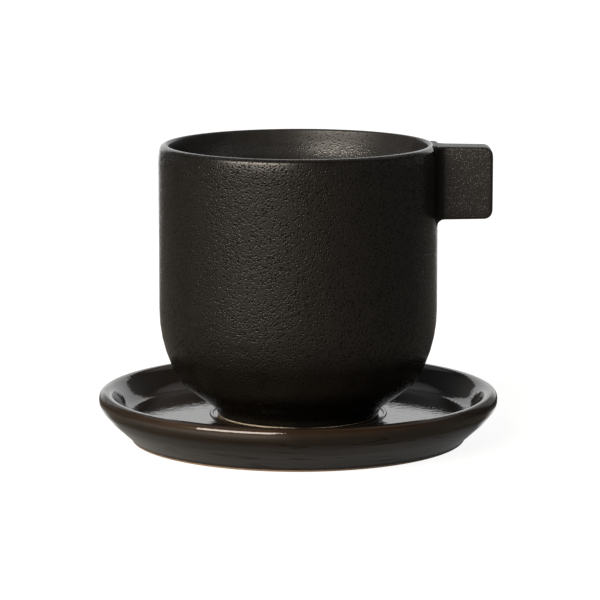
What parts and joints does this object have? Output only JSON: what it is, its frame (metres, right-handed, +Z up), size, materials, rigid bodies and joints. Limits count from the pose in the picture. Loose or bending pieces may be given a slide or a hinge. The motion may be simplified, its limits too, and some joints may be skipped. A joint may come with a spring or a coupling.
{
  "type": "espresso cup with saucer",
  "caption": "Straight-sided espresso cup with a flat square tab for a handle, standing by its small foot in the round seat of a low dished saucer.",
  "frame": {"origin": "centre of the saucer's foot ring on the table", "axes": "+Z up along the cup's and the saucer's common axis, +X towards the tab handle"},
  "size_m": [0.0936, 0.0936, 0.0693],
  "materials": {
    "cup_glaze": "matt, finely dimpled near-black glaze",
    "saucer_glaze": "glossy black-brown glaze that breaks to red-brown along the rim"
  },
  "bodies": {
    "saucer": {"saucer": "saucer_glaze"},
    "cup": {"cup_body": "cup_glaze", "tab_handle": "cup_glaze"}
  },
  "joints": [
    {"name": "cup_lift", "type": "slide", "parent": "saucer", "child": "cup", "axis": [0, 0, 1], "range_m": [0, 0.06]}
  ]
}
